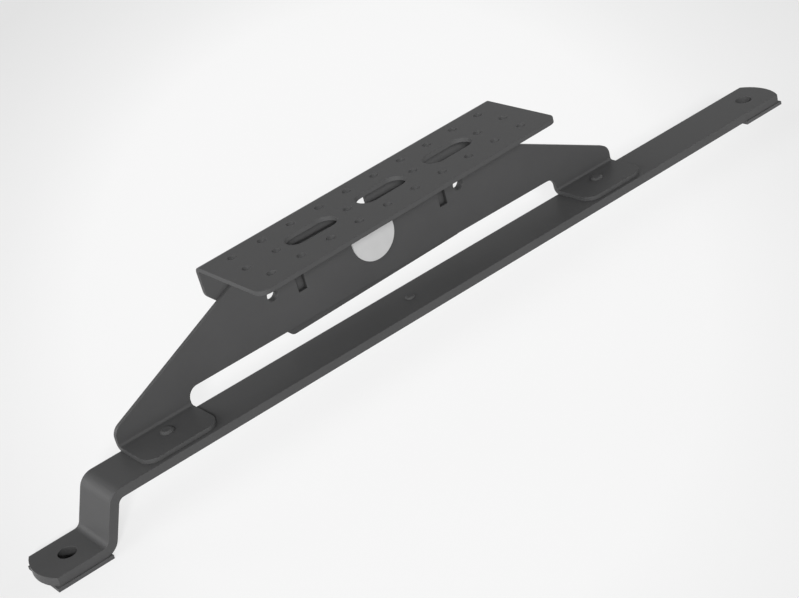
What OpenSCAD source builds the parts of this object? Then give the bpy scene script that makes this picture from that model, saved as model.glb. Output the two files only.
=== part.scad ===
// Raised mounting bracket: a joggled flat-bar rail, a bridge-shaped sheet
// upright on two feet, and a perforated L-shaped device plate on a pivot.
// Origin: the axis of the left bolt hole, at the underside of the left pad.
// +X runs along the rail to the right hole, +Y is the back, +Z is up.

/* [Rail] */
// Distance between the two bolt holes
hole_spacing = 500; // [470:1:540]
// Width of the flat bar
rail_w = 30; // [26:0.5:36]
// Thickness of the flat bar
rail_t = 5; // [4:0.25:6]
// Height of the step between the left tab and the long run
step_rise = 25; // [16:0.5:34]
// Distance from the left hole to the bend line of the step, at its foot
step_x = 15; // [13:0.5:16.5]
// Lean of the step from upright, in degrees
step_lean = 22; // [10:1:30]
// Inner radius of the two bends in the bar
bend_r = 4; // [3:0.25:5]
// Length of bar beyond each bolt hole
end_reach = 18.5; // [17:0.5:22]
// Radius of the bowed ends of the bar
end_r = 27; // [22:0.5:60]
// Diameter of the two bolt holes
bolt_hole_d = 10; // [7:0.25:12]

/* [Pads] */
// Side of each square pad under the bolt holes
pad_w = 31.6; // [26:0.2:34]
// Thickness of the pads
pad_t = 2; // [1:0.25:4]

/* [Upright] */
// Thickness of the sheet of the upright
upright_t = 2.5; // [2:0.25:3]
// Length of the upright over its two feet
upright_l = 350; // [330:1:370]
// Distance from the left hole to the middle of the upright
upright_x = 224; // [215:0.5:235]
// Height of the top edge over the rail
upright_h = 53.5; // [52:0.5:56]
// Height of the outer corners over the rail
shoulder_h = 11.2; // [10:0.1:16]
// Slope of the long sides, in degrees
side_slope = 24.9; // [22:0.1:27]
// Radius of the outer corners
shoulder_r = 7; // [5:0.5:9]
// Radius of the corners at the ends of the top edge
upright_corner_r = 8; // [4:0.5:12]
// Length of the opening between the feet
opening_l = 261; // [245:1:270]
// Height of the opening over the rail
opening_h = 11.1; // [10.5:0.1:13]
// Corner radius of the opening
opening_r = 6; // [4:0.25:7]
// Inner radius of the bend above each foot
foot_bend_r = 1.5; // [1:0.25:2.5]
// Length of each foot across the rail, from the back of the sheet
foot_d = 30; // [27:0.5:31]
// Radius of the free corners of the feet
foot_corner_r = 8; // [4:0.5:10]
// Width of the open notches in the top edge
notch_w = 5.5; // [4:0.25:8]
// Distance of the notches from the pivot
notch_x = 50; // [46:0.5:54]
// Depth of the notches below the level of the pivot
notch_drop = 7.1; // [4:0.1:9]

/* [Device plate] */
// Thickness of the sheet of the device plate
plate_t = 2.5; // [2:0.25:3]
// Length of the device plate
plate_l = 200; // [192:1:210]
// Depth of the device plate, from front to back
plate_d = 60; // [57:0.5:66]
// Radius of the front corners of the device plate
plate_corner_r = 6; // [3:0.5:8]
// Outer radius of the long bend of the device plate
plate_bend_r = 4.2; // [3.6:0.1:5]
// Height of the flange, from the top of the plate down
flange_h = 63.3; // [61:0.1:65]
// Height of the straight ends of the flange
flange_end_h = 17; // [12:0.5:22]
// Length of the lower edge of the flange
flange_foot_l = 119; // [110:1:140]
// Radius of the lower corners of the flange
flange_corner_r = 4; // [2:0.5:6]
// Radius of the upper corners of the flange
flange_side_r = 6; // [3:0.5:10]
// Tilt of the device plate about the pivot, in degrees
tilt = 1.6; // [0:0.1:2]
// Distance of the middle of the plate to the left of the pivot
plate_shift = 2.7; // [0:0.1:4]
// Height of the plate's top over the pivot
plate_rise = 34.5; // [33.5:0.1:36]
// Depth of the top of the pivot's slot in the flange, below the plate's top
pivot_slot_top = 9; // [7:0.5:14]
// Room under the pivot's shank in that slot
pivot_slot_room = 2.5; // [0:0.5:6]

/* [Plate holes] */
// Diameter of the small holes
hole_d = 5; // [3:0.25:7]
// Distance between neighbouring holes of the long rows
hole_pitch = 18.75; // [17:0.25:20]
// Least distance from the first hole of a long row to the plate's end
row_edge = 14; // [10:0.5:16]
// Distance of the back row from the back of the flange
row_back = 12.5; // [10:0.5:14]
// Distance of the middle row from the back of the flange
row_mid = 30; // [28:0.5:32]
// Distance of the front row from the back of the flange
row_front = 47.5; // [45:0.5:50]
// Distance of the inner holes of the middle row from the middle
mid_inner_x = 22.3; // [20.5:0.1:24]
// Distance of the next holes of the middle row from the middle
mid_outer_x = 68.6; // [67:0.1:72]
// Distance of the outermost holes of the middle row from the plate's ends
mid_end_gap = 12.6; // [9:0.1:17]
// Width of the three wide slots
slot_w = 14.5; // [8:0.5:16]
// Length of the three wide slots
slot_l = 31; // [24:0.5:34]
// Distance between neighbouring slots
slot_pitch = 46.5; // [44:0.5:48]
// Diameter of the two holes through the upright and the flange
through_d = 7.2; // [4:0.2:9]
// Distance of those two holes from the middle of the plate
through_x = 65.4; // [62:0.1:70]

/* [Fasteners] */
// Height of the pivot over the rail
pivot_h = 36.7; // [35:0.1:38.5]
// Distance from the left hole to the pivot
pivot_x = 224.1; // [221:0.1:228]
// Diameter of the pivot's round head
pivot_d = 28.4; // [20:0.2:30]
// Thickness of the pivot's round head
pivot_head_t = 1; // [0.6:0.1:2.5]
// Diameter of the pivot's shank
pivot_shank_d = 8; // [6:0.5:9]
// Diameter of the head behind the flange
pivot_tail_d = 14; // [11:0.5:18]
// Diameter of the heads of the foot rivets
rivet_d = 7.6; // [6:0.2:10]
// Height of the heads of the foot rivets
rivet_h = 1.4; // [1:0.1:2.5]
// Diameter of the shanks of the foot rivets
rivet_shank_d = 4; // [3:0.1:5]
// Distance of the foot rivets from the middle of the upright
rivet_x = 152.5; // [148:0.5:158]
// Distance of the foot rivets behind the middle of the rail
rivet_y = 4.5; // [0:0.5:6]
// Diameter of the head of the rail screw
screw_d = 5.6; // [4.5:0.1:7]
// Height of the head of the rail screw
screw_h = 1.2; // [0.8:0.1:2]
// Diameter of the shank of the rail screw
screw_shank_d = 3; // [2:0.1:4]
// Distance from the left hole to the rail screw
screw_x = 228; // [222:0.5:250]

/* [Fits] */
// Clearance round each shank, on the radius
shank_clear = 0.1; // [0.05:0.05:0.3]

/* [Hidden] */
$fn = 64;
eps = 0.5;

// Levels of the rail
tab_top = pad_t + rail_t;
rail_under = pad_t + step_rise;
rail_top = rail_under + rail_t;
left_end = -end_reach;
right_end = hole_spacing + end_reach;

// Planes of the two sheets: the panel's front lies in line with the bar's back edge
panel_y = rail_w / 2;
flange_y = panel_y + upright_t;
back_y = flange_y + plate_t;

pivot_z = rail_top + pivot_h;
foot_l = (upright_l - opening_l) / 2;
foot_mid = (upright_l + opening_l) / 4;
hole_rows = [row_back, row_front];
row_count = floor((plate_l - 2 * row_edge) / hole_pitch) + 1;
row_half = (row_count - 1) * hole_pitch / 2;
mid_holes = [mid_inner_x, mid_outer_x, plate_l / 2 - mid_end_gap];

// Points along a corner arc that joins a to c past b with radius r
function unit(v) = v / norm(v);
function turn(u, v) = acos(max(-1, min(1, u * v)));
function corner(a, b, c, r) =
    let (
        u = unit(a - b),
        v = unit(c - b),
        half = turn(u, v) / 2,
        reach = r / tan(half),
        mid = b + unit(u + v) * r / sin(half),
        p = b + u * reach - mid,
        q = b + v * reach - mid,
        sweep = turn(unit(p), unit(q)),
        side = sign(p.x * q.y - p.y * q.x),
        steps = max(2, ceil(sweep / 7.5))
    )
    [
        for (i = [0:steps])
            let (t = side * sweep * i / steps)
            mid + [p.x * cos(t) - p.y * sin(t), p.x * sin(t) + p.y * cos(t)]
    ];

// Closed outline through points given as [x, y, radius]
function rounded(pts) = [
    for (i = [0:len(pts) - 1])
        let (
            n = len(pts),
            a = pts[(i + n - 1) % n],
            b = pts[i],
            c = pts[(i + 1) % n]
        )
        each b[2] > 0
            ? corner([a[0], a[1]], [b[0], b[1]], [c[0], c[1]], b[2])
            : [[b[0], b[1]]]
];

// Upright profile extruded along Y, from y0 back by depth
module along_y(y0, depth) {
    translate([0, y0 + depth, 0])
        rotate([90, 0, 0])
            linear_extrude(depth)
                children();
}

// Slot with round ends, lying along X, centred
module slot2d(length, width) {
    square([length - width, width], center = true);
    for (s = [-1, 1])
        translate([s * (length - width) / 2, 0])
            circle(d = width);
}

// Frame of the device plate: tilted about the pivot, X from its own middle
module on_plate() {
    translate([pivot_x, 0, pivot_z])
        rotate([0, -tilt, 0])
            translate([-plate_shift, 0, 0])
                children();
}

// Bore along Y through both sheets, in the frame of the device plate
module through_hole(x, d) {
    translate([x, panel_y - eps, 0])
        rotate([-90, 0, 0])
            cylinder(h = upright_t + plate_t + 2 * eps, d = d);
}

// Shapes of the rail

// Side view of the bar: tab, leaning step and long run, with bent corners
step_run = step_rise * tan(step_lean);
bend_turn = 90 - step_lean;
bend_skew = rail_t * tan(bend_turn / 2);
function rail_profile() = rounded([
    [left_end, pad_t, 0],
    [step_x + bend_skew, pad_t, bend_r + rail_t],
    [step_x + step_run + bend_skew, rail_under, bend_r],
    [right_end, rail_under, 0],
    [right_end, rail_top, 0],
    [step_x + step_run, rail_top, bend_r + rail_t],
    [step_x, tab_top, bend_r],
    [left_end, tab_top, 0]
]);

// Plan view of the bar with its bowed ends
module rail_plan() {
    intersection() {
        translate([left_end, -rail_w / 2])
            square([right_end - left_end, rail_w]);
        translate([left_end + end_r, 0])
            bowed_end(-1);
        translate([right_end - end_r, 0])
            bowed_end(1);
    }
}

// Disc of the end radius, run on towards the other end of the bar
module bowed_end(s) {
    circle(r = end_r, $fn = 144);
    translate([s > 0 ? -right_end : 0, -end_r])
        square([right_end, 2 * end_r]);
}

module base_rail() {
    color("dimgray")
        difference() {
            intersection() {
                along_y(-rail_w / 2, rail_w)
                    polygon(rail_profile());
                linear_extrude(rail_top + eps)
                    rail_plan();
            }
            for (x = [0, hole_spacing])
                translate([x, 0, 0])
                    cylinder(h = rail_top + eps, d = bolt_hole_d);
            for (s = [-1, 1])
                translate([upright_x + s * rivet_x, rivet_y, rail_under - eps])
                    cylinder(h = rail_t + 2 * eps, d = rivet_shank_d + 2 * shank_clear);
            translate([screw_x, 0, rail_under - eps])
                cylinder(h = rail_t + 2 * eps, d = screw_shank_d + 2 * shank_clear);
        }
}

// Shapes of the pads

module pad(x, z) {
    translate([x, 0, z])
        difference() {
            translate([-pad_w / 2, -pad_w / 2, 0])
                cube([pad_w, pad_w, pad_t]);
            translate([0, 0, -eps])
                cylinder(h = pad_t + 2 * eps, d = bolt_hole_d);
        }
}

module left_pad() {
    color("gray")
        pad(0, 0);
}

module right_pad() {
    color("gray")
        pad(hole_spacing, rail_under - pad_t);
}

// Shapes of the upright

// Front view of the panel above the bends, X from its middle, Z over the rail
half_l = upright_l / 2;
half_open = opening_l / 2;
panel_foot = upright_t + foot_bend_r;
top_half = half_l - (upright_h - shoulder_h) / tan(side_slope);
function panel_outline() = rounded([
    [-half_l, panel_foot, 0],
    [-half_l, shoulder_h, shoulder_r],
    [-top_half, upright_h, upright_corner_r],
    [top_half, upright_h, upright_corner_r],
    [half_l, shoulder_h, shoulder_r],
    [half_l, panel_foot, 0],
    [half_open, panel_foot, 0],
    [half_open, opening_h, opening_r],
    [-half_open, opening_h, opening_r],
    [-half_open, panel_foot, 0]
]);

// Quarter bend that turns the panel forward into a foot
module foot_bend(x) {
    outer = foot_bend_r + upright_t;
    translate([x - foot_l / 2, panel_y - foot_bend_r, rail_top + outer])
        rotate([90, 0, 90])
            linear_extrude(foot_l)
                intersection() {
                    difference() {
                        circle(r = outer);
                        circle(r = foot_bend_r);
                    }
                    translate([0, -outer])
                        square(outer);
                }
}

// Plan of a foot: free front corners rounded
module foot_plan() {
    depth = foot_d - upright_t - foot_bend_r;
    polygon(rounded([
        [-foot_l / 2, 0, 0],
        [-foot_l / 2, -depth, foot_corner_r],
        [foot_l / 2, -depth, foot_corner_r],
        [foot_l / 2, 0, 0]
    ]));
}

module foot(x) {
    foot_bend(x);
    translate([x, panel_y - foot_bend_r, rail_top])
        linear_extrude(upright_t)
            foot_plan();
}

module upright() {
    color("dimgray")
        difference() {
            union() {
                translate([upright_x, 0, rail_top])
                    along_y(panel_y, upright_t)
                        polygon(panel_outline());
                for (s = [-1, 1])
                    foot(upright_x + s * foot_mid);
            }
            translate([pivot_x, panel_y - eps, pivot_z])
                rotate([-90, 0, 0])
                    cylinder(h = upright_t + 2 * eps, d = pivot_shank_d + 2 * shank_clear);
            on_plate()
                for (s = [-1, 1]) {
                    through_hole(s * through_x, through_d);
                    translate([
                        plate_shift + s * notch_x - notch_w / 2, panel_y - eps, -notch_drop
                    ])
                        cube([notch_w, upright_t + 2 * eps, upright_h]);
                }
            for (s = [-1, 1])
                translate([upright_x + s * rivet_x, rivet_y, rail_top - eps])
                    cylinder(h = upright_t + 2 * eps, d = rivet_shank_d + 2 * shank_clear);
        }
}

// Shapes of the device plate

// Plan of the plate in front of its bend, Y from the back of the flange
module plate_plan() {
    half = plate_l / 2;
    difference() {
        polygon(rounded([
            [-half, -plate_bend_r, 0],
            [-half, -plate_d, plate_corner_r],
            [half, -plate_d, plate_corner_r],
            [half, -plate_bend_r, 0]
        ]));
        for (i = [0:row_count - 1], y = hole_rows)
            translate([i * hole_pitch - row_half, -y])
                circle(d = hole_d);
        for (s = [-1, 1], x = mid_holes)
            translate([s * x, -row_mid])
                circle(d = hole_d);
        for (i = [-1:1])
            translate([i * slot_pitch, -row_mid])
                slot2d(slot_l, slot_w);
    }
}

// Front view of the flange below its bend, Z from the top of the plate
function flange_outline() = rounded([
    [-plate_l / 2, -plate_bend_r, 0],
    [-plate_l / 2, -flange_end_h, flange_side_r],
    [-flange_foot_l / 2, -flange_h, flange_corner_r],
    [flange_foot_l / 2, -flange_h, flange_corner_r],
    [plate_l / 2, -flange_end_h, flange_side_r],
    [plate_l / 2, -plate_bend_r, 0]
]);

// Upright slot in the flange that the pivot's shank passes through
pivot_slot_w = pivot_shank_d + 2 * shank_clear;
pivot_slot_high = plate_rise - pivot_slot_top;
pivot_slot_low = -pivot_slot_w / 2 - pivot_slot_room;

module plate_bend() {
    translate([-plate_l / 2, back_y - plate_bend_r, -plate_bend_r])
        rotate([90, 0, 90])
            linear_extrude(plate_l)
                intersection() {
                    difference() {
                        circle(r = plate_bend_r);
                        circle(r = plate_bend_r - plate_t);
                    }
                    square(plate_bend_r);
                }
}

module device_plate() {
    color("dimgray")
        on_plate()
            difference() {
                translate([0, 0, plate_rise]) {
                    translate([0, back_y, -plate_t])
                        linear_extrude(plate_t)
                            plate_plan();
                    plate_bend();
                    along_y(flange_y, plate_t)
                        polygon(flange_outline());
                }
                for (s = [-1, 1])
                    through_hole(s * through_x, through_d);
                translate([plate_shift, 0, (pivot_slot_high + pivot_slot_low) / 2])
                    along_y(flange_y - eps, plate_t + 2 * eps)
                        rotate(90)
                            slot2d(pivot_slot_high - pivot_slot_low, pivot_slot_w);
            }
}

// Shapes of the fasteners

// Flat head in front of the upright, shank through both sheets, tail behind
module pivot_disc() {
    color("silver")
        translate([pivot_x, 0, pivot_z])
            rotate([-90, 0, 0]) {
                translate([0, 0, panel_y - pivot_head_t])
                    cylinder(h = pivot_head_t, d = pivot_d, $fn = 96);
                translate([0, 0, panel_y - eps])
                    cylinder(h = upright_t + plate_t + 2 * eps, d = pivot_shank_d);
                translate([0, 0, back_y])
                    cylinder(h = pivot_head_t, d = pivot_tail_d);
            }
}

// Low head of height h and diameter d, on z = 0
module low_head(d, h) {
    rotate_extrude()
        polygon([
            [0, 0],
            [0.5 * d, 0],
            [0.5 * d, 0.5 * h],
            [0.34 * d, h],
            [0, h]
        ]);
}

module rivet(x, y, base, head_d, head_h, shank_d) {
    translate([x, y, 0]) {
        translate([0, 0, base])
            low_head(head_d, head_h);
        translate([0, 0, rail_under])
            cylinder(h = base - rail_under + eps, d = shank_d);
    }
}

module foot_rivets() {
    color("dimgray")
        for (s = [-1, 1])
            rivet(upright_x + s * rivet_x, rivet_y, rail_top + upright_t,
                rivet_d, rivet_h, rivet_shank_d);
}

module rail_screw() {
    color("dimgray")
        rivet(screw_x, 0, rail_top, screw_d, screw_h, screw_shank_d);
}

base_rail();
left_pad();
right_pad();
upright();
device_plate();
pivot_disc();
foot_rivets();
rail_screw();
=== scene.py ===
"""Looks of the raised mounting bracket: coats, floor, light and camera."""

import math

import bpy
from mathutils import Matrix, Vector

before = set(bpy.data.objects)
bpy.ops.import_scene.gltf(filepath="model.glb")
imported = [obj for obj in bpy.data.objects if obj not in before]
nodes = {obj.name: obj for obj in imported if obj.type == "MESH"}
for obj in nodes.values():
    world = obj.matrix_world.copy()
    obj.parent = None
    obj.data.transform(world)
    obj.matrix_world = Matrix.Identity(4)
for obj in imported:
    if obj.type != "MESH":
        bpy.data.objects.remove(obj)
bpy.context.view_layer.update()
scene = bpy.context.scene


# Camera: the photograph's viewing angle

IMAGE_W = 799
FOCAL_PX = 1758.467
SENSOR_MM = 36.0
AZIMUTH = math.radians(32.4973)
ELEVATION = math.radians(26.8135)
ROLL = math.radians(-14.5769)
EYE = Vector((-0.2321064, -0.7115667, 0.4610596))

look = Vector((
    math.sin(AZIMUTH) * math.cos(ELEVATION),
    math.cos(AZIMUTH) * math.cos(ELEVATION),
    -math.sin(ELEVATION),
))
level = look.cross(Vector((0, 0, 1))).normalized()
above = level.cross(look)
right = math.cos(ROLL) * level + math.sin(ROLL) * above
up = math.cos(ROLL) * above - math.sin(ROLL) * level

cam_data = bpy.data.cameras.new("camera")
cam_data.sensor_fit = "HORIZONTAL"
cam_data.sensor_width = SENSOR_MM
cam_data.lens = FOCAL_PX * SENSOR_MM / IMAGE_W
cam_data.clip_start = 0.01
cam_data.clip_end = 50.0
cam = bpy.data.objects.new("camera", cam_data)
cam.matrix_world = Matrix((
    (right.x, up.x, -look.x, EYE.x),
    (right.y, up.y, -look.y, EYE.y),
    (right.z, up.z, -look.z, EYE.z),
    (0, 0, 0, 1),
))
scene.collection.objects.link(cam)
scene.camera = cam


# Shader nodes

class Tree:
    """Short ways to add and link the shader nodes of a material or world."""

    def __init__(self, owner, output_kind):
        owner.use_nodes = True
        self.tree = owner.node_tree
        self.tree.nodes.clear()
        self.out = self.add(output_kind)

    def add(self, kind, **values):
        """New node; each value goes to the input or the setting of its name."""
        node = self.tree.nodes.new(kind)
        for key, value in values.items():
            if key in node.inputs:
                node.inputs[key].default_value = value
            else:
                setattr(node, key, value)
        return node

    def link(self, a, b):
        self.tree.links.new(a, b)

    def noise(self, coord, scale, detail, roughness):
        """Noise factor over the given coordinates."""
        node = self.add(
            "ShaderNodeTexNoise", Scale=scale, Detail=detail, Roughness=roughness
        )
        self.link(coord, node.inputs["Vector"])
        return node.outputs["Fac"]

    def ramp(self, source, stops):
        """Ramp through stops of (place, grey level) or (place, colour)."""
        node = self.add("ShaderNodeValToRGB")
        elements = node.color_ramp.elements
        while len(elements) < len(stops):
            elements.new(0.5)
        for element, (place, value) in zip(elements, stops):
            colour = (value,) * 3 if isinstance(value, float) else value
            element.position = place
            element.color = (*colour, 1)
        self.link(source, node.inputs["Fac"])
        return node.outputs["Color"]

    def show_mix(self, factor, first, second):
        """Puts out a mix of two shaders; factor 1 gives the second."""
        node = self.add("ShaderNodeMixShader")
        self.link(factor, node.inputs["Fac"])
        self.link(first, node.inputs[1])
        self.link(second, node.inputs[2])
        self.link(node.outputs["Shader"], self.out.inputs["Surface"])


def new_material(name):
    """An empty material and the tree of its nodes."""
    mat = bpy.data.materials.new(name)
    return mat, Tree(mat, "ShaderNodeOutputMaterial")


def seen_rays(t):
    """1 for rays from the camera, a reflection or glass, 0 for other light."""
    path = t.add("ShaderNodeLightPath")
    either = t.add("ShaderNodeMath", operation="MAXIMUM")
    t.link(path.outputs["Is Camera Ray"], either.inputs[0])
    t.link(path.outputs["Is Glossy Ray"], either.inputs[1])
    seen = t.add("ShaderNodeMath", operation="MAXIMUM")
    t.link(either.outputs[0], seen.inputs[0])
    t.link(path.outputs["Is Transmission Ray"], seen.inputs[1])
    return seen.outputs[0]


# Materials of the part

COAT_SPECULAR = 0.07
METAL_SPECULAR = 0.3
# Size of the coat's orange-peel grain and of its speck noise
PEEL = 0.00035
SPECK = PEEL / 0.6
# Brightness of a speck over the coat round it
SPECK_GAIN = 1.22
# Radius at which the coat softens a sharp edge
EDGE_RADIUS = 0.0003
# Reach within which walls make a place count as a hole or inner corner, for the
# painted shade there
PAINTED_SHADE_REACH = 0.012


def scaled(colour, factor):
    return [c * factor for c in colour]


def soft_edges(t):
    """Normal that rounds sharp edges a little, as a thick coat does."""
    edge = t.add("ShaderNodeBevel", samples=6, Radius=EDGE_RADIUS)
    return edge.outputs["Normal"]


def painted_hole_shade(t, colour):
    """Colour darkened with painted shade deep in holes and inner corners."""
    openness = t.add(
        "ShaderNodeAmbientOcclusion", samples=8, Distance=PAINTED_SHADE_REACH
    )
    painted_shade = t.ramp(openness.outputs["AO"], [(0.25, 0.45), (0.65, 1.0)])
    shaded_colour = t.add("ShaderNodeMixRGB", blend_type="MULTIPLY", Fac=1.0)
    t.link(colour, shaded_colour.inputs["Color1"])
    t.link(painted_shade, shaded_colour.inputs["Color2"])
    return shaded_colour.outputs["Color"]


def finish_skin(t, skin, colour, gloss, normal):
    """Links the varying colour, gloss and normal of a surface and puts it out."""
    t.link(colour, skin.inputs["Base Color"])
    t.link(gloss, skin.inputs["Roughness"])
    t.link(normal, skin.inputs["Normal"])
    t.link(skin.outputs["BSDF"], t.out.inputs["Surface"])


def coating(name, colour, rough, spread=0.05):
    """Satin powder coat: fine orange peel, faint mottling, uneven gloss, painted
    shade in holes and inner corners.
    """
    mat, t = new_material(name)
    coord = t.add("ShaderNodeTexCoord").outputs["Object"]
    broad = t.noise(coord, 28.0, 4.0, 0.6)
    fine = t.noise(coord, 1 / PEEL, 2.0, 0.5)
    specks = t.noise(coord, 1 / SPECK, 3.0, 0.7)

    tone = t.ramp(broad, [
        (0.30, scaled(colour, 1 - spread)), (0.70, scaled(colour, 1 + spread)),
    ])
    flecks = t.ramp(specks, [(0.62, 0.0), (0.80, 1.0)])
    mottled = t.add(
        "ShaderNodeMixRGB", blend_type="MIX", Color2=(*scaled(colour, SPECK_GAIN), 1)
    )
    t.link(flecks, mottled.inputs["Fac"])
    t.link(tone, mottled.inputs["Color1"])

    gloss = t.ramp(broad, [(0.30, rough - 0.04), (0.70, rough + 0.04)])
    peel = t.add("ShaderNodeBump", Strength=0.10, Distance=PEEL / 2)
    t.link(fine, peel.inputs["Height"])
    t.link(soft_edges(t), peel.inputs["Normal"])

    skin = t.add("ShaderNodeBsdfPrincipled")
    skin.inputs["Specular IOR Level"].default_value = COAT_SPECULAR
    # The coat's colour gets painted shade in holes and inner corners
    base = painted_hole_shade(t, mottled.outputs["Color"])
    finish_skin(t, skin, base, gloss, peel.outputs["Normal"])
    return mat


def dull_metal(name, colour, rough):
    """Light grey blasted metal of the pivot's head: fine grain, little sheen."""
    mat, t = new_material(name)
    coord = t.add("ShaderNodeTexCoord").outputs["Object"]
    cloud = t.noise(coord, 120.0, 4.0, 0.6)
    grain = t.noise(coord, 3500.0, 2.0, 0.6)

    tone = t.ramp(cloud, [(0.30, scaled(colour, 0.97)), (0.70, scaled(colour, 1.03))])
    gloss = t.ramp(cloud, [(0.30, rough - 0.05), (0.70, rough + 0.05)])
    pits = t.add("ShaderNodeBump", Strength=0.12, Distance=0.0001)
    t.link(grain, pits.inputs["Height"])

    skin = t.add("ShaderNodeBsdfPrincipled", Metallic=0.25)
    skin.inputs["Specular IOR Level"].default_value = METAL_SPECULAR
    finish_skin(t, skin, tone, gloss, pits.outputs["Normal"])
    return mat


def dress(mat, *names):
    """Puts one material in every slot of the named CAD nodes."""
    for name in names:
        for slot in nodes[name].material_slots:
            slot.material = mat


steel_coat = coating("powder_coat", (0.055, 0.055, 0.0555), 0.42)
pad_coat = coating("pad_coat", (0.066, 0.066, 0.067), 0.65, spread=0.04)
pin_coat = coating("fastener_coat", (0.058, 0.058, 0.0585), 0.45, spread=0.03)
disc_metal = dull_metal("disc_metal", (0.445, 0.445, 0.445), 0.60)

dress(steel_coat, "base_rail", "upright", "device_plate")
dress(pad_coat, "left_pad", "right_pad")
dress(pin_coat, "foot_rivets", "rail_screw")
dress(disc_metal, "pivot_disc")


# Floor and background

FLOOR_HALF = 8.0
PALE = 0.93
# Share of the floor's look that is plain paleness; the rest takes light and shadow
FLOOR_GLOW = 0.82
# Middle, turn and half-lengths of the oval round the object where a painted pool of
# light makes the floor palest, and the floor's painted levels from the oval's rim
# inwards
OVAL_MIDDLE = (0.322, 0.170, 0)
OVAL_TURN = math.radians(57.8)
OVAL_REACH = (0.974, 0.414, 1)
PAINTED_POOL_LEVELS = [
    (0.00, 0.76), (0.23, 0.811), (0.385, 0.857), (0.54, 0.923), (0.65, PALE),
]
# Light from all round, as the part takes it
SKY_STRENGTH = 0.16


def floor_paper():
    """Pale paper with a painted pool of light round the object, a little darker far
    from it.
    """
    mat, t = new_material("floor_paper")
    oval = t.add(
        "ShaderNodeMapping",
        vector_type="TEXTURE",
        Location=OVAL_MIDDLE,
        Rotation=(0, 0, OVAL_TURN),
        Scale=OVAL_REACH,
    )
    coord = t.add("ShaderNodeTexCoord").outputs["Object"]
    t.link(coord, oval.inputs["Vector"])
    painted_light_pool = t.add("ShaderNodeTexGradient", gradient_type="SPHERICAL")
    t.link(oval.outputs["Vector"], painted_light_pool.inputs["Vector"])
    # Painted pool of light: the floor's colour grows paler towards the object
    pale = t.ramp(painted_light_pool.outputs["Fac"], PAINTED_POOL_LEVELS)

    paper = t.add("ShaderNodeBsdfDiffuse")
    t.link(pale, paper.inputs["Color"])
    glow = t.add("ShaderNodeEmission", Strength=1.0)
    t.link(pale, glow.inputs["Color"])
    share = t.add("ShaderNodeMath", operation="MULTIPLY")
    t.link(seen_rays(t), share.inputs[0])
    share.inputs[1].default_value = FLOOR_GLOW
    t.show_mix(share.outputs[0], paper.outputs["BSDF"], glow.outputs["Emission"])
    return mat


floor_mesh = bpy.data.meshes.new("floor")
floor_mesh.from_pydata(
    [(-FLOOR_HALF, -FLOOR_HALF, 0), (FLOOR_HALF, -FLOOR_HALF, 0),
     (FLOOR_HALF, FLOOR_HALF, 0), (-FLOOR_HALF, FLOOR_HALF, 0)],
    [], [(0, 1, 2, 3)],
)
floor_mesh.materials.append(floor_paper())
floor = bpy.data.objects.new("floor", floor_mesh)
scene.collection.objects.link(floor)

world = bpy.data.worlds.new("studio")
scene.world = world
t = Tree(world, "ShaderNodeOutputWorld")
sky = t.add("ShaderNodeBackground", Strength=SKY_STRENGTH)
wall = t.add("ShaderNodeBackground", Strength=PALE)
t.show_mix(seen_rays(t), sky.outputs["Background"], wall.outputs["Background"])


# Lamps

def soft_sun(name, toward, strength, spread):
    """A soft lamp; toward points at it, spread is its width in degrees."""
    data = bpy.data.lights.new(name, "SUN")
    data.energy = strength
    data.angle = math.radians(spread)
    obj = bpy.data.objects.new(name, data)
    obj.rotation_euler = Vector(toward).to_track_quat("Z", "Y").to_euler()
    scene.collection.objects.link(obj)


soft_sun("left_light", (-1.0, -0.12, 0.36), 2.5, 50)
soft_sun("right_light", (1.0, -0.15, 0.26), 1.2, 50)
soft_sun("back_light", (-0.40, 1.0, 0.12), 1.4, 40)
soft_sun("front_light", (-0.62, -1.0, 0.52), 3.55, 7)

scene.view_settings.view_transform = "Standard"
